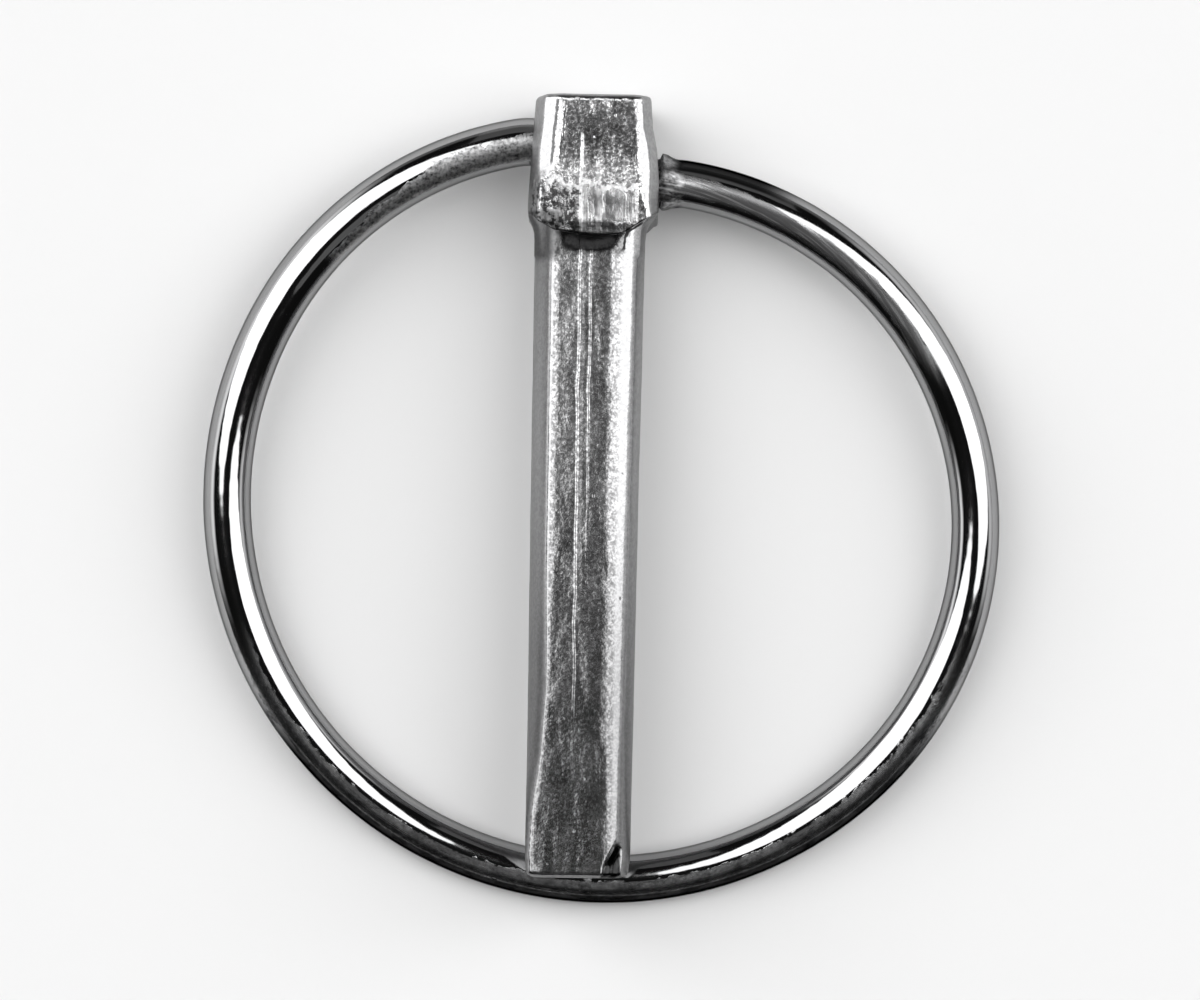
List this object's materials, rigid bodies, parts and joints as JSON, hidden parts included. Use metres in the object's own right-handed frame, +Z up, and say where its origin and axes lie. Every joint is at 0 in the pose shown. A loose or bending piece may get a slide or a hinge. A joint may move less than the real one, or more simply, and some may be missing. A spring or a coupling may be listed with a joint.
{
  "type": "linch pin",
  "caption": "Linch pin with a round shank, a forged block head and a sprung wire ring that swings over the tip to lock a bucket pin.",
  "frame": {"origin": "middle of the footprint, on the surface it lies on", "axes": "+Y along the pin towards its head, +Z up out of the surface it lies on, +X to the right of the face that looks up"},
  "size_m": [0.058, 0.0586, 0.0112],
  "materials": {
    "forged_steel": "zinc plated, drawn and scuffed",
    "spring_wire": "bright zinc plated"
  },
  "bodies": {
    "pin": {"pin": "forged_steel"},
    "ring": {"ring": "spring_wire"}
  },
  "joints": [
    {"name": "ring_swing", "type": "hinge", "parent": "pin", "child": "ring", "pos_m": [-0.00113, 0.02453, 0.0048], "axis": [1, 0, 0], "range_deg": [0, 347.7]}
  ]
}
